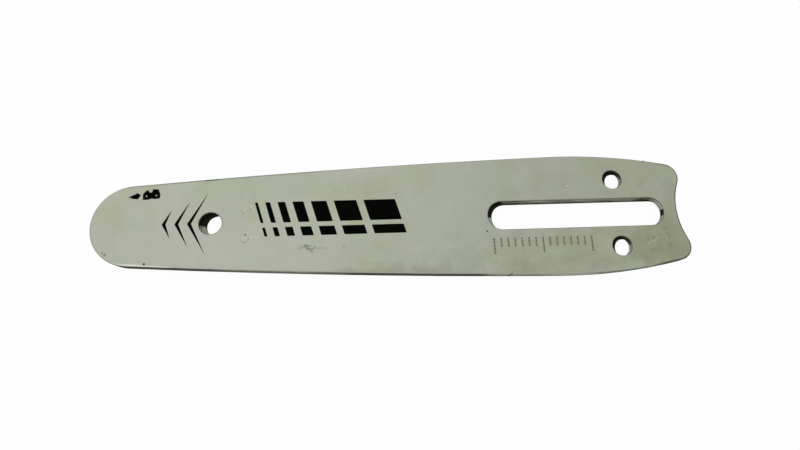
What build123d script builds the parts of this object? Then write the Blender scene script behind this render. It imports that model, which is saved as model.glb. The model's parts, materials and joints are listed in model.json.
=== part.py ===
from build123d import *
import os
from math import sqrt

# Guide bar for a small chainsaw: three steel sheets welded face to face.
# It lies flat. X runs from the nose to the tail, Z is up, and the lower face is at Z = 0.

# Sheets
plate_thickness = 1.2
core_thickness = 1.2

# Outline: a round nose, bowed flanks, a tighter bow at the tail, two horns and a hollow end
bar_length = 206.0
nose_radius = 14.1
flank_radius = 3000.0
widest_width = 43.3
widest_from_tail = 42.2
tail_bow_radius = 190.0
horn_radius = 5.2
end_radius = 25.5
edge_break = 0.2

# Chain groove between the side plates, around the core
groove_depth = 5.5

# Stud slot, measured to its rounded ends
slot_length = 63.3
slot_width = 10.2
slot_end_from_tail = 7.7

# Chain tension and oil holes on both sides of the slot
tail_hole_diameter = 6.9
tail_hole_spacing = 24.5
tail_hole_from_tail = 24.7
oil_mouth_width = 4.0

# Hanging hole behind the nose
nose_hole_diameter = 7.6
nose_hole_from_nose = 39.7

# The lower plate was punched off its place, so its openings sit nearer the tail and to one side
punch_slip_along = 1.8
punch_slip_across = -0.45

# Places along the bar, with the origin at its middle
nose_x = -bar_length / 2
tail_x = bar_length / 2
nose_hole_x = nose_x + nose_hole_from_nose
slot_x = tail_x - slot_end_from_tail - slot_length / 2
tail_hole_x = tail_x - tail_hole_from_tail
tail_hole_y = tail_hole_spacing / 2

# Heights of the undersides of the core and of the upper plate
core_z = plate_thickness
top_z = plate_thickness + core_thickness


def toward(origin, target, distance):
    """The point at a distance from the origin, in the direction of the target."""
    return origin + (target - origin).normalized() * distance


def lower_crossing(centre_a, radius_a, centre_b, radius_b):
    """The lower of the two points where two circles cross."""
    span = centre_b - centre_a
    along = (radius_a**2 - radius_b**2 + span.length**2) / (2 * span.length)
    across = sqrt(radius_a**2 - along**2)
    direction = span.normalized()
    return centre_a + direction * along + Vector(direction.Y, -direction.X) * across


def arc(centre, start, end):
    """The shorter arc about a centre, from start to end."""
    radius = (start - centre).length
    middle = toward(centre, (start + end) / 2, radius)
    return ThreePointArc(start, middle, end)


def closed_face(upper_edges):
    """The face between a chain of edges above the axis and its mirror image."""
    edges = Curve() + upper_edges
    return make_face(edges + mirror(edges, about=Plane.XZ))


# Centres of the outline's arcs, each tangent to the next
nose_centre = Vector(nose_x + nose_radius, 0)
bow_centre = Vector(tail_x - widest_from_tail, widest_width / 2 - tail_bow_radius)
flank_centre = lower_crossing(
    nose_centre, flank_radius - nose_radius, bow_centre, flank_radius - tail_bow_radius
)
horn_x = tail_x - horn_radius
horn_rise = sqrt((tail_bow_radius - horn_radius) ** 2 - (horn_x - bow_centre.X) ** 2)
horn_centre = Vector(horn_x, bow_centre.Y + horn_rise)
end_reach = sqrt((end_radius + horn_radius) ** 2 - horn_centre.Y**2)
end_centre = Vector(horn_x + end_reach, 0)


def plate_outline():
    """The whole outline of a side plate."""
    tip = Vector(nose_x, 0)
    nose_end = toward(flank_centre, nose_centre, flank_radius)
    flank_end = toward(flank_centre, bow_centre, flank_radius)
    bow_end = toward(bow_centre, horn_centre, tail_bow_radius)
    horn_end = toward(end_centre, horn_centre, end_radius)
    hollow = Vector(end_centre.X - end_radius, 0)
    return closed_face(
        [
            arc(nose_centre, tip, nose_end),
            arc(flank_centre, nose_end, flank_end),
            arc(bow_centre, flank_end, bow_end),
            arc(horn_centre, bow_end, horn_end),
            arc(end_centre, horn_end, hollow),
        ]
    )


def core_outline():
    """The outline of the core: inside the plates by the groove's depth, and level with them at the tail."""
    tip = Vector(nose_x + groove_depth, 0)
    core_flank_radius = flank_radius - groove_depth
    core_bow_radius = tail_bow_radius - groove_depth
    nose_end = toward(flank_centre, nose_centre, core_flank_radius)
    flank_end = toward(flank_centre, bow_centre, core_flank_radius)
    tail_rise = sqrt(core_bow_radius**2 - (tail_x - bow_centre.X) ** 2)
    bow_end = Vector(tail_x, bow_centre.Y + tail_rise)
    inner = closed_face(
        [
            arc(nose_centre, tip, nose_end),
            arc(flank_centre, nose_end, flank_end),
            arc(bow_centre, flank_end, bow_end),
            Line(bow_end, Vector(tail_x, 0)),
        ]
    )
    return inner & plate_outline()


def openings():
    """The stud slot and the round holes, as faces to cut."""
    slot = Pos(slot_x, 0) * SlotOverall(slot_length, slot_width)
    nose_hole = Pos(nose_hole_x, 0) * Circle(nose_hole_diameter / 2)
    tail_hole = Circle(tail_hole_diameter / 2)
    tail_holes = [Pos(tail_hole_x, side * tail_hole_y) * tail_hole for side in (-1, 1)]
    return [slot, nose_hole, *tail_holes]


def oil_mouths():
    """The ways that oil takes through the core, from the tail holes out to the groove."""
    reach = widest_width / 2 - tail_hole_y
    mouth_y = tail_hole_y + reach / 2
    mouth = Rectangle(oil_mouth_width, reach)
    return [Pos(tail_hole_x, side * mouth_y) * mouth for side in (-1, 1)]


def side_plate(slip):
    """A side plate lying on Z = 0, with its outer face up and that face's edges broken."""
    face = plate_outline() - [slip * opening for opening in openings()]
    plate = extrude(face, plate_thickness)
    outer_edges = plate.faces().sort_by(Axis.Z)[-1].edges()
    return chamfer(outer_edges, edge_break)


top_side_plate = Pos(0, 0, top_z) * side_plate(Pos(0, 0))
core_plate = Pos(0, 0, core_z) * extrude(core_outline() - openings() - oil_mouths(), core_thickness)
slipped_plate = side_plate(Pos(punch_slip_along, punch_slip_across))
bottom_side_plate = Pos(0, 0, plate_thickness) * mirror(slipped_plate, about=Plane.XY)

os.makedirs("parts", exist_ok=True)
export_step(top_side_plate, "parts/top_side_plate.step")
export_step(core_plate, "parts/core_plate.step")
export_step(bottom_side_plate, "parts/bottom_side_plate.step")
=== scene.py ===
import json
import math

import bpy
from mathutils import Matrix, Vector

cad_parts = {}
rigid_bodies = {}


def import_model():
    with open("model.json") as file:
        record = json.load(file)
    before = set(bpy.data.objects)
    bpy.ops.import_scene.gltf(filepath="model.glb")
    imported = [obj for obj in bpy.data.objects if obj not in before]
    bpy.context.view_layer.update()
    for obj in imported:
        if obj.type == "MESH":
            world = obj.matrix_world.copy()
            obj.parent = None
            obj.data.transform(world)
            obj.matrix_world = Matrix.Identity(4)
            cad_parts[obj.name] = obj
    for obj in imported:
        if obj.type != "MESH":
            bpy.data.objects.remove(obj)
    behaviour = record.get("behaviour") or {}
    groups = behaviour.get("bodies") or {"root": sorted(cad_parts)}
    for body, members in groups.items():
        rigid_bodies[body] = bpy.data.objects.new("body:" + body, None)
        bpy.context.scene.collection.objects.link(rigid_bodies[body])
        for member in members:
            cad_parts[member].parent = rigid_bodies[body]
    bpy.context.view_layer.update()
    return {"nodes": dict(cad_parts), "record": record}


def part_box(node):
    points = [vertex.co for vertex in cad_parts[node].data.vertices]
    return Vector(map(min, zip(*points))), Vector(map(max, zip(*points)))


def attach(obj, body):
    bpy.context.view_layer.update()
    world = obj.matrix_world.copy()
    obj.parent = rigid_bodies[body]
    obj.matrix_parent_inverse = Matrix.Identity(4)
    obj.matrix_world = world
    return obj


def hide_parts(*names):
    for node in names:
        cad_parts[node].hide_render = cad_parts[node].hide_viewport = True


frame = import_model()

# Looks of a chainsaw guide bar of three welded steel sheets, on a white floor.
# Sizes and places are in mm from the bar's middle, and angles in degrees, unless a comment says otherwise.

# One mm in metres, and how near vertices lie that are merged
MM = 0.001
MERGE_DISTANCE = 0.001

# The bar's faces, in metres, and the places of its openings
FACE_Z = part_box("top_side_plate")[1].z
UNDER_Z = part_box("bottom_side_plate")[0].z
MOUNT_PLACES = {mount["name"]: Vector(mount["pos_m"]) / MM for mount in frame["record"]["mounts"]}


# Material nodes

# A distance from an oval's middle is told apart up to this many times its half size
OVAL_REACH = 3


class Wire:
    """One output in a material's node tree. Arithmetic between wires and numbers adds Math nodes."""

    def __init__(self, tree, socket=None):
        self.tree = tree
        self.socket = socket

    def node(self, kind, settings=None, inputs=None, output=0):
        """Adds a node, sets it up, feeds its sockets with values or wires, and gives one of its outputs."""
        made = self.tree.nodes.new(kind)
        for name, value in (settings or {}).items():
            if name == "stops":
                set_stops(made.color_ramp, value)
            else:
                setattr(made, name, value)
        for name, value in (inputs or {}).items():
            if isinstance(value, Wire):
                self.tree.links.new(value.socket, made.inputs[name])
            else:
                made.inputs[name].default_value = value
        return Wire(self.tree, made.outputs[output])

    def math(self, operation, *operands):
        """A Math node on wires and numbers."""
        return self.node("ShaderNodeMath", {"operation": operation}, dict(enumerate(operands)))

    def __add__(self, other):
        return self.math("ADD", self, other)

    def __radd__(self, other):
        return self.math("ADD", other, self)

    def __sub__(self, other):
        return self.math("SUBTRACT", self, other)

    def __rsub__(self, other):
        return self.math("SUBTRACT", other, self)

    def __mul__(self, other):
        return self.math("MULTIPLY", self, other)

    def __rmul__(self, other):
        return self.math("MULTIPLY", other, self)

    def scaled(self, x, y, z):
        """This place with each axis scaled."""
        return self.node("ShaderNodeVectorMath", {"operation": "MULTIPLY"}, {0: self, 1: (x, y, z)})

    def around(self, middle, halves, turn=0.0):
        """How far this place is from an oval's middle: 1 at the oval's rim, and OVAL_REACH at most."""
        sockets = {
            "Vector": self,
            "Location": [size * MM for size in middle],
            "Rotation": (0, 0, math.radians(turn)),
            "Scale": [OVAL_REACH * size * MM for size in halves],
        }
        oval = self.node("ShaderNodeMapping", {"vector_type": "TEXTURE"}, sockets)
        near = oval.node("ShaderNodeTexGradient", {"gradient_type": "SPHERICAL"}, {"Vector": oval}, "Fac")
        return OVAL_REACH - OVAL_REACH * near

    def looking(self, side):
        """How far the surface looks towards a side, from -1 to 1."""
        normal = self.node("ShaderNodeNewGeometry", output="Normal")
        return self.node("ShaderNodeVectorMath", {"operation": "DOT_PRODUCT"}, {0: normal, 1: side}, "Value")

    def noise(self, scale, detail=2.0, roughness=0.5, seed=0.0):
        """Even noise about 0, from about -0.5 to 0.5. Each seed gives another one."""
        sockets = {"Vector": self, "W": seed, "Scale": scale, "Detail": detail, "Roughness": roughness}
        return self.node("ShaderNodeTexNoise", {"noise_dimensions": "4D"}, sockets, "Fac") - 0.5

    def between(self, low, high):
        """0 where this is at low, 1 where it is at high, and smooth in between. Low may be the larger."""
        sockets = {"Value": self, "From Min": low, "From Max": high}
        return self.node("ShaderNodeMapRange", {"interpolation_type": "SMOOTHSTEP"}, sockets)

    def ramp(self, *stops):
        """A colour for this value, from stops of a value and a colour."""
        return self.node("ShaderNodeValToRGB", {"stops": stops}, {0: self})

    def tinted(self, mask, colour):
        """This colour, changed to another one by a mask."""
        return self.node("ShaderNodeMix", {"data_type": "RGBA"}, {0: mask, 6: self, 7: colour}, 2)

    def shaded(self, shade):
        """This colour times a value."""
        return self.node("ShaderNodeVectorMath", {"operation": "SCALE"}, {0: self, "Scale": shade})

    def bump(self, strength, distance):
        """A normal from this height."""
        sockets = {"Height": self, "Strength": strength, "Distance": distance}
        return self.node("ShaderNodeBump", None, sockets)


def set_stops(ramp, stops):
    """Gives a colour ramp its stops, each a position and a colour."""
    while len(ramp.elements) < len(stops):
        ramp.elements.new(1.0)
    for element, (position, colour) in zip(ramp.elements, stops):
        element.position = position
        element.color = (*colour, 1)


def new_finish(name, **values):
    """A new material, a function that feeds its shader, and the place on the object in metres."""
    material = bpy.data.materials.new(name)
    material.use_nodes = True
    shader = material.node_tree.nodes["Principled BSDF"]
    for socket, value in values.items():
        shader.inputs[socket.replace("_", " ")].default_value = value

    def feed(**wires):
        """Links wires to the shader's sockets."""
        for socket, wire in wires.items():
            wire.tree.links.new(wire.socket, shader.inputs[socket.replace("_", " ")])

    place = Wire(material.node_tree).node("ShaderNodeTexCoord", output="Object")
    return material, feed, place


# Finishes of the steel

STEEL_GREY = (0.425, 0.450, 0.360)
STEEL_BLUE = (0.425, 0.458, 0.385)
STEEL_LILAC = (0.445, 0.448, 0.400)
STEEL_GREEN = (0.400, 0.450, 0.335)
STEEL_OLIVE = (0.390, 0.412, 0.285)
STEEL_BROWN = (0.338, 0.360, 0.240)
STEEL_DARK = (0.250, 0.255, 0.205)
# Colour of the welds' painted highlights
GLINT_BRIGHT = (0.580, 0.590, 0.500)
# Colour of the painted highlights along the nose's edge
HIGHLIGHT_CREAM = (0.700, 0.690, 0.590)
# Colour of scuffs, and of the painted shade round the welds
SCUFF_AND_SHADE_GREY = (0.170, 0.180, 0.140)
PIT_BLACK = (0.015, 0.015, 0.012)
# Dark ends of the walls' and edges' colours, partly oxide and partly painted shade
SHADE_AND_OXIDE_BLACK = (0.013, 0.016, 0.008)
SHADE_AND_OXIDE_BROWN = (0.078, 0.085, 0.060)
CUT_OLIVE = (0.176, 0.195, 0.134)
CUT_GREY = (0.405, 0.440, 0.345)
CUT_BRIGHT = (0.600, 0.640, 0.520)
STRUCK_DARK = (0.090, 0.092, 0.047)
STRUCK_OLIVE = (0.240, 0.240, 0.140)
INK_BLACK = (0.0006, 0.0009, 0.0006)
INK_SOOT = (0.002, 0.0028, 0.0018)

# Washes of oil and oxide on the printed face: middle x, y, half length, half width, tint, strength
FACE_WASHES = [
    (-62, -9, 52, 11, STEEL_LILAC, 0.8),
    (-45, 14, 30, 6, STEEL_GREEN, 0.5),
    (-38, 14, 20, 7, STEEL_DARK, 0.1),
    (-58, 10, 12, 9, STEEL_DARK, 0.08),
    (-54, 0, 9, 8, STEEL_DARK, 0.06),
    (-11, -12, 15, 6, STEEL_DARK, 0.07),
    (-96, 2, 6, 7, STEEL_OLIVE, 0.45),
    (22, -2, 16, 22, STEEL_BLUE, 0.9),
    (-10, 11, 13, 6, STEEL_BROWN, 0.38),
    (-14, -1, 4, 7, STEEL_OLIVE, 0.9),
    (8, 17, 8, 4, STEEL_OLIVE, 0.6),
    (2, -19.5, 24, 3.5, STEEL_DARK, 0.45),
    (-17, -18, 6, 1.8, STEEL_DARK, 0.3),
    (-6, -15.6, 9, 1, STEEL_DARK, 0.2),
    (36, 13, 9, 6, STEEL_GREEN, 0.7),
    (58, -15, 42, 9, STEEL_OLIVE, 0.65),
    (83, 13, 26, 11, STEEL_OLIVE, 0.45),
    (40, -19, 8, 4, STEEL_DARK, 0.25),
    (55, -16.5, 6, 2, STEEL_DARK, 0.15),
    (72, -18, 6, 2, STEEL_DARK, 0.15),
]
TAIL_WASHES = [
    (90, -11, 16, 9, STEEL_BROWN, 0.9),
    (99, -6, 6, 16, STEEL_BROWN, 0.6),
    (84, -16, 6, 2.5, STEEL_DARK, 0.15),
    (97, -14, 4, 2, STEEL_DARK, 0.12),
]

# Scuffs and smears on the printed face: middle x, y, half length, half width, turn, strength
FACE_SCUFFS = [
    (-31.0, -8.9, 1.3, 0.7, 0, 0.72),
    (-32.5, -9.4, 1.6, 0.7, 20, 0.35),
    (-29.6, -8.9, 1.0, 0.5, 0, 0.35),
    (-29.9, -10.0, 1.6, 0.55, -12, 0.68),
    (-28.3, -9.7, 0.9, 0.45, 35, 0.6),
    (-29.2, -10.8, 0.9, 0.5, -60, 0.5),
    (-26.0, -9.8, 2.6, 0.5, 0, 0.25),
    (-18.2, -9.7, 0.9, 0.7, 20, 0.25),
    (-65.4, 14.6, 2.4, 0.8, 20, 0.15),
    (-64.0, 15.6, 1.4, 0.4, 4, 0.3),
    (51.0, 10.0, 0.7, 2.0, -5, 0.12),
    (-17.2, 13.7, 0.8, 0.4, 0, 0.15),
    (-16.5, 11.4, 0.4, 1.0, 0, 0.15),
    (-97.9, -9.2, 0.5, 0.3, -40, 0.75),
    (-97.0, -9.9, 0.45, 0.5, -40, 0.85),
    (95.4, -9.0, 1.6, 0.8, -70, 0.22),
    (95.4, -12.6, 1.4, 0.9, -65, 0.26),
    (94.8, -6.4, 1.1, 0.9, 60, 0.24),
    (88.0, -9.6, 0.6, 1.2, 0, 0.22),
    (92.1, -8.4, 0.5, 1.0, 0, 0.22),
    (89.8, -14.1, 3.8, 1.4, 0, 0.18),
]

# Dark marks and painted shade round the welds' pressed rings, and painted highlights on them, by each weld's
# middle.
# A stroke is given as a scuff is, with its place from that middle.
WELD_MARKS_AND_SHADE = {
    (-51.1, 4.0): [
        (1.0, 0.7, 0.9, 0.35, -65, 0.35),
        (-0.9, -0.9, 0.7, 0.35, -30, 0.3),
        (-1.8, -0.6, 0.3, 1.0, 0, 0.2),
        (0.1, 0.0, 0.3, 0.4, 0, 0.15),
    ],
    (-51.1, -5.5): [
        (-0.2, 1.1, 0.55, 0.6, 0, 0.8),
        (-1.0, -1.4, 1.0, 0.35, -25, 0.38),
        (-0.2, -1.5, 0.6, 0.3, 10, 0.35),
        (0.8, -0.4, 0.9, 0.35, 60, 0.4),
    ],
    (0.5, 8.5): [(0.1, 0.6, 0.8, 0.35, 10, 0.35), (-0.6, -0.1, 0.3, 0.6, 0, 0.2)],
    (30.8, 10.2): [
        (-0.4, 0.6, 0.8, 0.3, -45, 0.25),
        (0.1, -0.6, 0.7, 0.3, -45, 0.28),
        (0.6, 0.4, 0.3, 0.6, 0, 0.2),
    ],
    (61.1, 9.8): [
        (-0.6, 1.0, 1.2, 0.35, 5, 0.3),
        (-1.2, 0.5, 0.35, 0.7, 0, 0.25),
        (-0.1, -0.3, 0.8, 0.25, 0, 0.22),
    ],
    (89.4, 9.5): [(-0.9, 0.7, 1.3, 0.7, 40, 0.2)],
    (89.6, -9.9): [(0.3, 0.2, 0.6, 0.6, 0, 0.45)],
}
WELD_GLINTS = {
    (-51.1, 4.0): [
        (1.3, 1.5, 1.0, 0.35, -50, 0.45),
        (1.8, 0.5, 0.3, 0.8, 0, 0.3),
        (-0.6, 0.7, 0.9, 0.3, 60, 0.4),
        (-0.2, -0.6, 0.7, 0.25, 10, 0.35),
    ],
    (-51.1, -5.5): [
        (0.1, 1.7, 0.5, 0.25, -30, 0.6),
        (-1.1, 0.1, 0.3, 0.9, 0, 0.65),
        (0.1, 0.1, 0.3, 0.8, -15, 0.5),
        (1.6, 0.0, 0.3, 0.8, 0, 0.5),
    ],
    (0.5, 8.5): [(0.3, -0.2, 0.5, 0.5, 0, 0.4), (0.2, -1.1, 0.3, 0.3, 0, 0.4)],
    (30.8, 10.2): [(-0.2, 0.1, 0.8, 0.25, -50, 0.4), (0.7, -0.7, 0.4, 0.4, 0, 0.35)],
    (61.1, 9.8): [(0.1, 0.4, 0.9, 0.3, 15, 0.45), (0.0, -1.0, 0.8, 0.25, 0, 0.35)],
    (89.4, 9.5): [(1.4, -0.3, 0.3, 1.0, -10, 0.35)],
    (89.6, -9.9): [
        (-1.3, -1.3, 1.0, 0.3, 35, 0.4),
        (0.1, -0.9, 1.0, 0.35, 5, 0.5),
        (1.2, -0.2, 0.9, 0.3, 60, 0.45),
        (2.1, 0.6, 0.8, 0.3, 8, 0.4),
        (4.8, 0.0, 1.5, 0.3, -80, 0.25),
    ],
}

# Small dents in the printed face: middle x, y and radius
FACE_PITS = [(31.3, -5.6, 0.37), (-84.0, -13.4, 0.4)]

# Painted highlights along the nose's lower edge, which is worn round: middle x, y, half length, half width,
# turn
HIGHLIGHTED_EDGES = [(-89.0, -13.95, 8.0, 0.75, -4), (-79.6, -14.42, 4.2, 0.25, -5.5)]

# The printed face is blotchiest along the slot's lower side: middle x, y, half length, half width
BLOTCHED_AREA = (55, -14, 50, 11)

# Half heights of ovals: on the printed face only, through all the sheets, and of the painted shade and wear
# along the rails
FACE_DEPTH = 1
THROUGH_DEPTH = 100
RUN_DEPTH = 1000


def face_oval(place, x, y, half_length, half_width, turn=0.0):
    """How far the place is from the middle of an oval on the printed face."""
    return place.around((x, y, FACE_Z / MM), (half_length, half_width, FACE_DEPTH), turn)


def through_oval(place, x, y, half_length, half_width, half_height=THROUGH_DEPTH):
    """How far the place is from the middle of an oval that reaches through all the sheets."""
    return place.around((x, y, 0), (half_length, half_width, half_height))


def weld_strokes(strokes_of_welds):
    """The strokes round all the welds, at their places on the printed face."""
    return [
        (weld_x + x, weld_y + y, *stroke)
        for (weld_x, weld_y), strokes in strokes_of_welds.items()
        for x, y, *stroke in strokes
    ]


def ground_steel():
    """The plates' faces: dull ground steel with fine lengthwise marks, washes of oil, scuffs and pits, with
    painted shade and highlights round the welds and painted highlights at the nose's edge.
    """
    material, feed, place = new_finish("ground_steel", Metallic=0.8)
    # Stretched in height, so that the far face has other clouds than the printed one
    layer = place.scaled(1, 1, 40)
    hue = layer.noise(95, 3, 0.6, seed=1)
    green = layer.noise(120, 3, 0.6, seed=2)
    cloud = layer.noise(170, 4, 0.6, seed=3)
    grain = place.scaled(80, 2600, 1).noise(1, 3, 0.6)
    speck = place.noise(2400, 2, 0.6)
    ragged = 1.2 * place.noise(900, 3, 0.7)

    colour = (hue + 0.5).ramp((0.3, STEEL_LILAC), (0.5, STEEL_GREY), (0.72, STEEL_OLIVE))

    def washed(colour, x, y, half_length, half_width, tint, strength):
        """The colour with one cloudy wash laid over it."""
        oval = face_oval(place, x, y, half_length, half_width)
        wash = (oval + 1.2 * cloud + 0.8 * hue).between(1.3, 0.3)
        return colour.tinted(strength * wash, (*tint, 1))

    for wash in FACE_WASHES:
        colour = washed(colour, *wash)
    colour = colour.tinted(0.8 * green.between(0.02, 0.2), (*STEEL_GREEN, 1))
    for wash in TAIL_WASHES:
        colour = washed(colour, *wash)
    # Painted highlights along the nose's lower edge
    for x, y, half_length, half_width, turn in HIGHLIGHTED_EDGES:
        oval = face_oval(place, x, y, half_length, half_width, turn)
        colour = colour.tinted((oval + 0.4 * cloud).between(1.05, 0.6), (*HIGHLIGHT_CREAM, 1))

    def smeared(colour, tint, strokes):
        """The colour with ragged strokes of a tint laid over it."""
        mask = 0.0
        for x, y, half_length, half_width, turn, strength in strokes:
            oval = face_oval(place, x, y, half_length, half_width, turn)
            smear = strength * (oval + ragged).between(1.15, 0.4)
            mask = smear.math("MAXIMUM", mask, smear)
        return colour.tinted(mask, (*tint, 1))

    # Scuffs and the welds' dark marks with their painted shade, then the welds' painted highlights
    colour = smeared(colour, SCUFF_AND_SHADE_GREY, [*FACE_SCUFFS, *weld_strokes(WELD_MARKS_AND_SHADE)])
    colour = smeared(colour, GLINT_BRIGHT, weld_strokes(WELD_GLINTS))
    for x, y, radius in FACE_PITS:
        oval = face_oval(place, x, y, radius, radius)
        colour = colour.tinted((oval + speck).between(1.1, 0.6), (*PIT_BLACK, 1))
    blotched = face_oval(place, *BLOTCHED_AREA).between(1.3, 0.6)
    scratch = place.scaled(320, 2400, 1).noise(1, 0, seed=4).between(0.17, 0.3)
    shade = 1 + (0.18 + 0.24 * blotched) * cloud + 0.12 * scratch + 0.10 * grain + 0.10 * speck
    colour = colour.shaded(shade)

    feed(Base_Color=colour, Roughness=0.45 + 0.2 * cloud + 0.15 * grain)
    feed(Normal=(grain + 0.5 * speck).bump(0.25, 0.01 * MM))
    return material


# The stud rubs the upper wall of its slot: middle x, y, half length, half width
RUBBED_WALLS = [(62.5, 4.6, 27, 2.4)]

# Painted shade on these walls and steps, mostly in the upper corners of the openings: middle x, y, z, half of
# each size, strength
SHADED_WALLS = [
    (-65.2, 3.4, 1.8, 3.6, 3.7, 10, 0.6),
    (33.4, 3.4, 1.8, 4.2, 3.2, 10, 0.5),
    (36.5, 5.0, 1.8, 7, 3, 10, 0.1),
    (76.6, 15.2, 1.8, 4.6, 3.8, 10, 0.6),
    (76.6, -9.2, 1.8, 4.4, 3.8, 10, 0.6),
    (94.6, -0.3, 1.8, 1.6, 1.1, 10, 0.6),
    (95.0, -2.2, 1.8, 1.8, 1.2, 10, 0.35),
    (82.0, 12.8, 3.6, 1.6, 3.0, 1.4, 0.42),
    (82.0, -11.6, 3.6, 1.6, 3.0, 1.4, 0.38),
    (63.0, 4.85, 1.2, 31, 0.4, 0.2, 0.28),
]

# Walls that look this way, towards the light, are painted lightest, and walls that look away are painted dark
# as shade
LIT_SIDE = (-0.6, 0.8, 0)


def cut_walls(name, *stops):
    """A steel wall with upright tool marks: painted light where it looks towards the light, and dark
    elsewhere, partly oxide and partly painted shade.
    """
    material, feed, place = new_finish(name, Specular_IOR_Level=0.05)
    patches = place.noise(300, 3, 0.6)
    streaks = place.scaled(1900, 1900, 260).noise(1, 2, 0.6)
    # Painted light and shade: the more a wall looks towards the light, the lighter it is painted
    bare_and_lit = 0.5 + 0.5 * place.looking(LIT_SIDE) + 0.25 * patches + 0.12 * streaks
    for rubbed_wall in RUBBED_WALLS:
        bare_and_lit = bare_and_lit + 0.22 * through_oval(place, *rubbed_wall).between(1.15, 0.8)
    # Painted shade in the openings' upper corners and on their steps
    for x, y, z, half_length, half_width, half_height, strength in SHADED_WALLS:
        oval = place.around((x, y, z), (half_length, half_width, half_height))
        bare_and_lit = bare_and_lit - strength * (oval + 0.3 * patches).between(1.3, 0.75)
    feed(Base_Color=bare_and_lit.ramp(*stops), Metallic=0.3 * bare_and_lit.between(0.4, 0.9))
    feed(Roughness=0.6 - 0.2 * streaks, Normal=streaks.bump(0.4, 0.02 * MM))
    return material


def punched_steel():
    """The upper plate's walls round its openings."""
    stops = [(0.2, SHADE_AND_OXIDE_BLACK), (0.27, SHADE_AND_OXIDE_BROWN), (0.33, CUT_OLIVE), (0.4, CUT_GREY), (1.0, CUT_BRIGHT)]
    return cut_walls("punched_steel", *stops)


def core_steel():
    """The walls of the openings further down, darker than those of the upper plate."""
    stops = [(0.22, SHADE_AND_OXIDE_BLACK), (0.3, SHADE_AND_OXIDE_BROWN), (0.36, CUT_OLIVE), (0.44, CUT_GREY), (1.0, CUT_BRIGHT)]
    return cut_walls("core_steel", *stops)


# Painted shade on the rails and broken edges, mostly along the lower edge, and a dark nick: middle x, y, half
# length, half width, and how dark, or bare below 0
RAIL_SHADE_AND_WEAR = [
    (3, -20, 24, 14, 0.5),
    (24, -21, 6, 5, 0.4),
    (-76, -15, 18, 10, 0.5),
    (95, -12, 12, 8, 0.5),
    (51, -21, 22, 8, -0.3),
    (37.9, -21, 0.4, 0.6, 0.6),
    (63, 5, 32, 1, -0.3),
]


def shaded_and_worn(bare_and_lit, place):
    """How bare and lit the rails and broken edges are: less under painted shade and a nick, and more where
    rubbed.
    """
    for *area, strength in RAIL_SHADE_AND_WEAR:
        bare_and_lit = bare_and_lit - strength * through_oval(place, *area, RUN_DEPTH).between(1.25, 0.55)
    return bare_and_lit


def rail_steel():
    """The plates' outer walls, which the chain runs on: hardened, ground lengthwise, stained in runs and
    given painted shade along the lower edge.
    """
    material, feed, place = new_finish("rail_steel", Specular_IOR_Level=0.15)
    runs = place.noise(55, 3, 0.6)
    marks = place.scaled(90, 90, 3000).noise(1, 3, 0.6)
    bare_and_lit = shaded_and_worn(0.55 + runs + 0.3 * marks, place)
    feed(Base_Color=bare_and_lit.ramp((0.2, SHADE_AND_OXIDE_BLACK), (0.45, SHADE_AND_OXIDE_BROWN), (0.75, CUT_OLIVE), (1.0, CUT_GREY)))
    feed(Metallic=0.4 * bare_and_lit.between(0.5, 0.9), Roughness=0.5 + 0.2 * marks)
    feed(Normal=marks.bump(0.3, 0.01 * MM))
    return material


def broken_edge_steel():
    """The chamfers round the plates' faces: dull and dark, with painted shade along the lower edge and a few
    barer runs.
    """
    material, feed, place = new_finish("broken_edge_steel", Specular_IOR_Level=0.1)
    patches = place.noise(160, 3, 0.6)
    worn_and_shaded = shaded_and_worn(patches + 0.5, place)
    feed(Base_Color=worn_and_shaded.ramp((0.0, SHADE_AND_OXIDE_BLACK), (0.35, SHADE_AND_OXIDE_BROWN), (0.75, STEEL_DARK)))
    feed(Metallic=0.3 * worn_and_shaded.between(0.35, 0.75), Roughness=0.5 + 0.2 * patches)
    return material


# The rims' painted shade is deepest here, and one spot is a dark nick on the lower edge: middle x, y, half
# length, half width, strength
DEEP_RIM_SHADES = [
    (106, -3, 22, 26, 0.9),
    (-63.5, 16, 2.5, 2, 1.0),
    (0, -20, 34, 5, 0.15),
    (-60, 16, 36, 6, 0.3),
    (38.5, -20.7, 0.4, 0.6, 1.2),
]


def rim_steel():
    """The outer rims of the plates' faces, which roll over to the chamfers: painted dark as the shade where
    they roll over, with a painted highlight at the nose.
    """
    material, feed, place = new_finish("rim_steel", Metallic=0.4)
    dashes = place.noise(330, 3, 0.7)
    # Painted shade along the rims, where they roll over
    rim_shade = 0.05 + 0.6 * dashes
    for *area, strength in DEEP_RIM_SHADES:
        rim_shade = rim_shade + strength * through_oval(place, *area).between(1.1, 0.8)
    colour = rim_shade.ramp((0.0, STEEL_GREY), (0.5, STEEL_DARK), (1.0, SHADE_AND_OXIDE_BROWN))
    # Painted highlights along the nose's lower edge, on the rims too
    for x, y, half_length, half_width, turn in HIGHLIGHTED_EDGES:
        oval = face_oval(place, x, y, half_length, 2 * half_width, turn)
        colour = colour.tinted((oval + 0.5 * dashes).between(1.05, 0.8), (*HIGHLIGHT_CREAM, 1))
    feed(Base_Color=colour, Roughness=0.5 + 0.2 * dashes)
    return material


def black_ink():
    """Matt black screen print, a little uneven."""
    material, feed, place = new_finish("black_ink", Specular_IOR_Level=0.015)
    cloud = place.noise(400, 3, 0.6)
    feed(Base_Color=(cloud + 0.5).ramp((0.3, INK_BLACK), (0.7, INK_SOOT)))
    feed(Roughness=0.6 + 0.2 * cloud)
    return material


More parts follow.
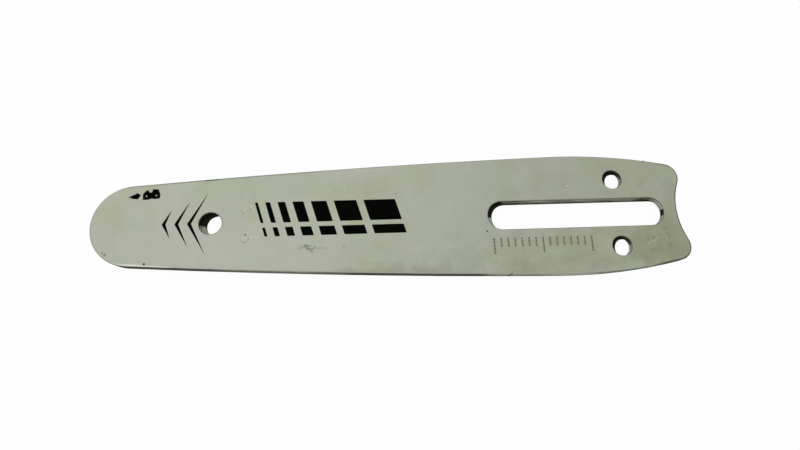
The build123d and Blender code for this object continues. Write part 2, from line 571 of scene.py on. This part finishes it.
def struck_steel():
    """Dents struck into the face, painted dark as the shade in each hollow, with old oil in them."""
    material, feed, place = new_finish("struck_steel", Metallic=0.4)
    cloud = place.noise(1500, 3, 0.6)
    feed(Base_Color=(cloud + 0.5).ramp((0.3, STRUCK_DARK), (0.75, STRUCK_OLIVE)))
    feed(Roughness=0.6 + 0.2 * cloud)
    return material


GROUND = ground_steel()
PUNCHED = punched_steel()
RAIL = rail_steel()
CORE = core_steel()
EDGE = broken_edge_steel()
RIM = rim_steel()
INK = black_ink()
STRUCK = struck_steel()


# Modelling helpers


def clear_selection():
    """Leaves edit mode and selects nothing."""
    if bpy.context.object and bpy.context.object.mode != "OBJECT":
        bpy.ops.object.mode_set(mode="OBJECT")
    bpy.ops.object.select_all(action="DESELECT")


def edit_all():
    """Enters edit mode on the active piece, with all of it selected."""
    bpy.ops.object.mode_set(mode="EDIT")
    bpy.ops.mesh.select_all(action="SELECT")


def select_faces(piece, wanted):
    """Enters edit mode on the active piece, with only the wanted faces selected."""
    bpy.ops.object.mode_set(mode="EDIT")
    bpy.ops.mesh.select_all(action="DESELECT")
    bpy.ops.object.mode_set(mode="OBJECT")
    for polygon in piece.data.polygons:
        polygon.select = wanted(polygon)
    bpy.ops.object.mode_set(mode="EDIT")


def move(x, y, z=0.0):
    """The setting by which an operator moves what it makes."""
    return {"value": (x * MM, y * MM, z * MM)}


def on_bar(piece, name, slot, *materials):
    """Names a piece, gives it its finishes and lets it ride on the bar."""
    bpy.ops.object.mode_set(mode="OBJECT")
    piece.name = name
    piece.data.name = name
    piece.data.materials.clear()
    for material in materials:
        piece.data.materials.append(material)
    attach(piece, "root")
    return piece


def drawn_line(points):
    """A line of edges, all selected: a plane merged to one vertex, which is drawn out from point to point."""
    clear_selection()
    bpy.ops.mesh.primitive_plane_add(size=MM)
    bpy.ops.object.mode_set(mode="EDIT")
    bpy.ops.mesh.merge(type="CENTER")
    bpy.ops.transform.translate(**move(*points[0]))
    for point, next_point in zip(points, points[1:]):
        step = Vector(next_point) - Vector(point)
        bpy.ops.mesh.extrude_region_move(TRANSFORM_OT_translate=move(*step))
    bpy.ops.mesh.select_all(action="SELECT")


# Ink stands this far out of the face, reaches this far into it, and has this many steps round a corner
INK_HEIGHT = 0.02
INK_ROOT = 0.02
INK_CORNER_STEPS = 4


def traced_patch(corners, rounding):
    """A thin patch on the printed face: a line through its corners, filled, rounded and thickened."""
    drawn_line([(x, y, FACE_Z / MM - INK_ROOT) for x, y in corners])
    bpy.ops.mesh.edge_face_add()
    bpy.ops.mesh.bevel(offset=rounding * MM, segments=INK_CORNER_STEPS, affect="VERTICES")
    bpy.ops.mesh.select_all(action="SELECT")
    bpy.ops.mesh.extrude_region_move(TRANSFORM_OT_translate=move(0, 0, INK_ROOT + INK_HEIGHT))
    bpy.ops.mesh.select_all(action="SELECT")
    bpy.ops.mesh.normals_make_consistent(inside=False)
    bpy.ops.object.mode_set(mode="OBJECT")
    return bpy.context.object


def upright_cylinder(place, sides, radius, height):
    """A cylinder that stands halfway through the printed face."""
    clear_selection()
    x, y = place
    spot = (x * MM, y * MM, FACE_Z)
    bpy.ops.mesh.primitive_cylinder_add(vertices=sides, radius=radius * MM, depth=height * MM, location=spot)
    bpy.ops.object.transform_apply()
    return bpy.context.object


def joined(pieces):
    """Several pieces as one."""
    clear_selection()
    for piece in pieces:
        piece.select_set(True)
    bpy.context.view_layer.objects.active = pieces[0]
    bpy.ops.object.join()
    return pieces[0]


def copied_to(places):
    """Copies the active piece, which is at the first place, to the other places."""
    edit_all()
    for (x, y), (next_x, next_y) in zip(places, places[1:]):
        bpy.ops.mesh.duplicate_move(TRANSFORM_OT_translate=move(next_x - x, next_y - y))
    bpy.ops.object.mode_set(mode="OBJECT")


# Steel sheets

# How far a plate's face and its chamfers look outwards, at least
FACE_TURN = 0.9
CHAMFER_TURN = 0.3

# Walls that turn less than this are shaded smooth
SMOOTH_ANGLE = 60

# The width of the rim round a plate's face
RIM_WIDTH = 0.3

# The order of a sheet's finishes
FACE_FINISH, OPENING_FINISH, CHAMFER_FINISH, RAIL_FINISH, RIM_FINISH = range(5)

# Areas that hold an opening's walls in all the sheets: the middle, and half the length and width
OPENING_AREAS = [
    (MOUNT_PLACES["hanging_hole_top"], 8, 8),
    (MOUNT_PLACES["tension_hole_left_top"], 7, 7),
    (MOUNT_PLACES["tension_hole_right_top"], 7, 7),
    (MOUNT_PLACES["stud_slot"], 34, 7),
]


def in_opening(place):
    """Whether a place is in or beside an opening."""
    return any(
        abs(place.x - middle.x) < half_length and abs(place.y - middle.y) < half_width
        for middle, half_length, half_width in OPENING_AREAS
    )


def dressed_sheet(node, name, slot, outer_side, *finishes):
    """A copy of a sheet with smooth walls, a rim round its faces and a finish for each kind of surface."""
    sheet = bpy.data.objects.new(name, frame["nodes"][node].data.copy())
    bpy.context.scene.collection.objects.link(sheet)
    clear_selection()
    sheet.select_set(True)
    bpy.context.view_layer.objects.active = sheet
    edit_all()
    bpy.ops.mesh.remove_doubles(threshold=MERGE_DISTANCE * MM)
    select_faces(sheet, lambda polygon: abs(polygon.normal.z) > FACE_TURN)
    bpy.ops.mesh.inset(thickness=RIM_WIDTH * MM)
    on_bar(sheet, name, slot, *finishes)
    # The inset leaves the faces inside their rims selected
    for polygon in sheet.data.polygons:
        outward = polygon.normal.z * outer_side
        inside = polygon.select or in_opening(polygon.center / MM)
        if outward > FACE_TURN:
            polygon.material_index = FACE_FINISH if inside else RIM_FINISH
        elif outward > CHAMFER_TURN:
            polygon.material_index = CHAMFER_FINISH
        else:
            polygon.material_index = OPENING_FINISH if inside else RAIL_FINISH
    bpy.ops.object.shade_smooth_by_angle(angle=math.radians(SMOOTH_ANGLE))
    normals = sheet.modifiers.new("even_normals", "WEIGHTED_NORMAL")
    normals.keep_sharp = True
    bpy.ops.object.modifier_apply(modifier=normals.name)
    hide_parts(node)


dressed_sheet("top_side_plate", "upper_plate", "side_steel", 1, GROUND, PUNCHED, EDGE, RAIL, RIM)
dressed_sheet("bottom_side_plate", "lower_plate", "side_steel", -1, GROUND, CORE, EDGE, RAIL, RIM)
dressed_sheet("core_plate", "core", "core_steel", 1, CORE, CORE, CORE, CORE, CORE)


# Spot weld marks

WELD_PLACES = list(WELD_MARKS_AND_SHADE)
WELD_RADIUS = 1.2
WELD_RIM = 0.3
WELD_HEIGHT = 0.03
WELD_ROOT = 0.03
WELD_STEPS = 40


def weld_marks(name, face_z, side):
    """Low rings that the welding tips pressed up out of a face. Side is 1 on top and -1 underneath."""
    x, y = WELD_PLACES[0]
    root_z = face_z / MM - side * WELD_ROOT
    crest_z = face_z / MM + side * WELD_HEIGHT
    inner_x = x + WELD_RADIUS - WELD_RIM
    crest_x = x + WELD_RADIUS
    outer_x = x + WELD_RADIUS + WELD_RIM
    drawn_line([(inner_x, y, root_z), (crest_x, y, crest_z), (outer_x, y, root_z), (inner_x, y, root_z)])
    bpy.ops.mesh.spin(steps=WELD_STEPS, angle=math.tau, center=(x * MM, y * MM, 0), axis=(0, 0, 1))
    bpy.ops.mesh.select_all(action="SELECT")
    bpy.ops.mesh.remove_doubles(threshold=MERGE_DISTANCE * MM)
    bpy.ops.mesh.normals_make_consistent(inside=False)
    copied_to(WELD_PLACES)
    on_bar(bpy.context.object, name, "side_steel", GROUND)
    bpy.ops.object.shade_smooth_by_angle(angle=math.radians(SMOOTH_ANGLE))


weld_marks("weld_marks", FACE_Z, 1)
weld_marks("weld_marks_under", UNDER_Z, -1)


# Burr on the upper edge near the tail

BURR_PLACE = (91.3, 18.95, 3.25)
BURR_SIZES = (1.3, 0.9, 0.5)
BURR_ROUNDING = 0.2
BURR_ROUNDING_STEPS = 3
BURR_SOFTNESS = 0.5
BURR_SOFTENINGS = 2


def edge_burr():
    """A lump of metal left standing on the edge: a block squeezed to size, with its edges rounded off."""
    clear_selection()
    bpy.ops.mesh.primitive_cube_add(size=MM)
    edit_all()
    bpy.ops.transform.resize(value=BURR_SIZES)
    bpy.ops.transform.translate(**move(*BURR_PLACE))
    bpy.ops.mesh.bevel(offset=BURR_ROUNDING * MM, segments=BURR_ROUNDING_STEPS)
    bpy.ops.mesh.select_all(action="SELECT")
    bpy.ops.mesh.vertices_smooth(factor=BURR_SOFTNESS, repeat=BURR_SOFTENINGS)
    on_bar(bpy.context.object, "edge_burr", "side_steel", RAIL)
    bpy.ops.object.shade_smooth()


edge_burr()


# Prints on the upper face

ARROW_CORNERS = [(-91.3, 10.0), (-88.3, 11.5), (-87.2, 10.7), (-88.0, 9.3), (-89.5, 9.4)]
CUTTER_CORNERS = [
    (-86.4, 9.0),
    (-86.5, 11.1),
    (-85.3, 12.5),
    (-84.8, 12.4),
    (-84.4, 11.6),
    (-83.6, 11.6),
    (-83.2, 12.8),
    (-81.4, 12.7),
    (-80.6, 10.6),
    (-80.8, 9.4),
    (-82.4, 9.2),
    (-83.4, 9.4),
    (-85.0, 9.0),
]
RIVET_PLACES = [(-85.3, 10.3), (-82.0, 10.5)]
RIVET_RADIUS = 0.26
RIVET_SIDES = 24
PUNCH_HEIGHT = 1.0
SIGN_ROUNDING = 0.15


def direction_sign():
    """An arrow and a cutter with two rivets left bare: the way that the chain runs."""
    arrow = traced_patch(ARROW_CORNERS, SIGN_ROUNDING)
    cutter = traced_patch(CUTTER_CORNERS, SIGN_ROUNDING)
    punch = upright_cylinder(RIVET_PLACES[0], RIVET_SIDES, RIVET_RADIUS, PUNCH_HEIGHT)
    copied_to(RIVET_PLACES)
    bpy.context.view_layer.objects.active = cutter
    cut = cutter.modifiers.new("rivets", "BOOLEAN")
    cut.object = punch
    bpy.ops.object.modifier_apply(modifier=cut.name)
    bpy.data.objects.remove(punch)
    on_bar(joined([arrow, cutter]), "direction_sign", "print_ink", INK)


direction_sign()

# Slanted bars that grow from the nose side to the tail side, in an upper and a lower row
BAR_WIDTHS = [1.0, 1.7, 2.6, 3.8, 5.4, 7.8, 11.0]
BAR_GAP = 2.5
BAR_START = -46.5
BAR_LEAN = 0.3
BAR_ROWS = [(7.0, -0.4), (-2.0, -5.2)]
BAR_ROUNDING = 0.25


def fading_bars():
    """Bold bars between the hanging hole and the slot."""
    bars = []
    for top, bottom in BAR_ROWS:
        left = BAR_START
        for width in BAR_WIDTHS:
            top_x = left - BAR_LEAN * top
            bottom_x = left - BAR_LEAN * bottom
            corners = [(top_x, top), (top_x + width, top), (bottom_x + width, bottom), (bottom_x, bottom)]
            bars.append(traced_patch(corners, BAR_ROUNDING))
            left += width + BAR_GAP
    on_bar(joined(bars), "fading_bars", "print_ink", INK)


fading_bars()

# Chevrons between the nose and the hanging hole
CHEVRON_TIPS = [-79.4, -75.2, -71.0]
CHEVRON_HALVES = [5.0, 8.0, 11.0]
CHEVRON_SWEEP = 0.6
CHEVRON_THICKNESS = 1.3
CHEVRON_ROUNDING = 0.1


def nose_chevrons():
    """Thin chevrons that point to the nose and taper to their ends."""
    chevrons = []
    for tip, half in zip(CHEVRON_TIPS, CHEVRON_HALVES):
        end = tip + CHEVRON_SWEEP * half
        corners = [(tip, 0), (end, half), (tip + CHEVRON_THICKNESS, 0), (end, -half)]
        chevrons.append(traced_patch(corners, CHEVRON_ROUNDING))
    on_bar(joined(chevrons), "nose_chevrons", "print_ink", INK)


nose_chevrons()

# Marks beside the slot, which are lines of struck dots
SCALE_START_X = 33.4
SCALE_START_Y = -8.6
SCALE_STEP = 2.45
SCALE_COUNT = 15
SCALE_LONG_EVERY = 7
LONG_DOTS = 7
SHORT_DOTS = 4

# A struck dot: a rim pushed up round a dent, and the second of its finishes, which is the dent's
DOT_STEP = 0.8
DOT_SIDES = 16
DOT_RADIUS = 0.39
DOT_RIM = 0.04
DOT_SLOPE = 0.15
DOT_HEIGHT = 0.03
DOT_DENT = 0.025
DENT_FINISH = 1


def tension_scale():
    """Marks to set the chain's tension by, each a line of struck dots across the bar."""
    places = []
    for mark in range(SCALE_COUNT):
        dots = SHORT_DOTS if mark % SCALE_LONG_EVERY else LONG_DOTS
        x = SCALE_START_X + mark * SCALE_STEP
        places += [(x, SCALE_START_Y - row * DOT_STEP) for row in range(dots)]
    dot = upright_cylinder(places[0], DOT_SIDES, DOT_RADIUS, 2 * DOT_HEIGHT)
    on_bar(dot, "tension_scale", "side_steel", GROUND, STRUCK)
    select_faces(dot, lambda polygon: polygon.normal.z > FACE_TURN)
    bpy.ops.mesh.inset(thickness=DOT_RIM * MM)
    bpy.ops.mesh.inset(thickness=DOT_SLOPE * MM, depth=-DOT_DENT * MM)
    bpy.ops.mesh.select_more()
    dot.active_material_index = DENT_FINISH
    bpy.ops.object.material_slot_assign()
    copied_to(places)


tension_scale()


# Floor, light and camera

# The floor's depth under the bar, and its size in metres
FLOOR_DROP = 0.05
FLOOR_SIZE = 6.0

# The share of its own light in what is seen of the floor
FLOOR_GLOW = 0.95
FLOOR_WHITE = (0.95, 0.95, 0.95, 1)


def studio_floor():
    """A white floor. The eye and the steel see it as a white ground that keeps a faint shadow."""
    clear_selection()
    bpy.ops.mesh.primitive_plane_add(size=FLOOR_SIZE, location=(0, 0, UNDER_Z - FLOOR_DROP * MM))
    floor = bpy.context.object
    floor.name = "floor"
    material = bpy.data.materials.new("white_floor")
    material.use_nodes = True
    tree = material.node_tree
    tree.nodes.remove(tree.nodes["Principled BSDF"])
    start = Wire(tree)
    rays = start.node("ShaderNodeLightPath").socket.node.outputs
    seen = Wire(tree, rays["Is Camera Ray"])
    for name in ("Is Glossy Ray", "Is Transmission Ray"):
        seen = seen.math("MAXIMUM", seen, Wire(tree, rays[name]))
    paint = start.node("ShaderNodeBsdfDiffuse", None, {"Color": FLOOR_WHITE})
    glow = start.node("ShaderNodeEmission", None, {"Strength": 1.0})
    mixed = start.node("ShaderNodeMixShader", None, {0: FLOOR_GLOW * seen, 1: paint, 2: glow})
    tree.links.new(mixed.socket, tree.nodes["Material Output"].inputs["Surface"])
    floor.data.materials.append(material)


SKY_WHITE = (1, 1, 1, 1)
SKY_STRENGTH = 0.77


def pale_sky():
    """An even white sky."""
    world = bpy.data.worlds.new("studio")
    world.use_nodes = True
    background = world.node_tree.nodes["Background"]
    background.inputs["Color"].default_value = SKY_WHITE
    background.inputs["Strength"].default_value = SKY_STRENGTH
    bpy.context.scene.world = world


# The window's place, aim and size in metres, and its power in watts
WINDOW_PLACE = Vector((-0.18, 0.17, 0.5))
WINDOW_AIM = Vector((-0.03, 0, 0))
WINDOW_LENGTH = 0.7
WINDOW_WIDTH = 0.4
WINDOW_POWER = 0.42


def window_light():
    """A wide soft window over the nose and the middle."""
    window = bpy.data.objects.new("window_light", bpy.data.lights.new("window_light", "AREA"))
    window.data.shape = "RECTANGLE"
    window.data.size = WINDOW_LENGTH
    window.data.size_y = WINDOW_WIDTH
    window.data.energy = WINDOW_POWER
    window.location = WINDOW_PLACE
    window.rotation_euler = (WINDOW_AIM - WINDOW_PLACE).to_track_quat("-Z", "Y").to_euler()
    bpy.context.scene.collection.objects.link(window)


CAMERA_PLACE = Vector((-8.234, -48.6, 170.568))
CAMERA_TURN = (15.536, -2.537, -2.414)
CAMERA_LENS = 22.64
CAMERA_SENSOR = 36.0


def photo_camera():
    """The camera, where the photograph was taken from."""
    camera = bpy.data.objects.new("camera", bpy.data.cameras.new("camera"))
    camera.data.sensor_fit = "HORIZONTAL"
    camera.data.sensor_width = CAMERA_SENSOR
    camera.data.lens = CAMERA_LENS
    camera.data.clip_start = MM
    camera.location = CAMERA_PLACE * MM
    camera.rotation_euler = [math.radians(angle) for angle in CAMERA_TURN]
    bpy.context.scene.collection.objects.link(camera)
    bpy.context.scene.camera = camera


studio_floor()
pale_sky()
window_light()
photo_camera()
bpy.context.scene.view_settings.view_transform = "Standard"
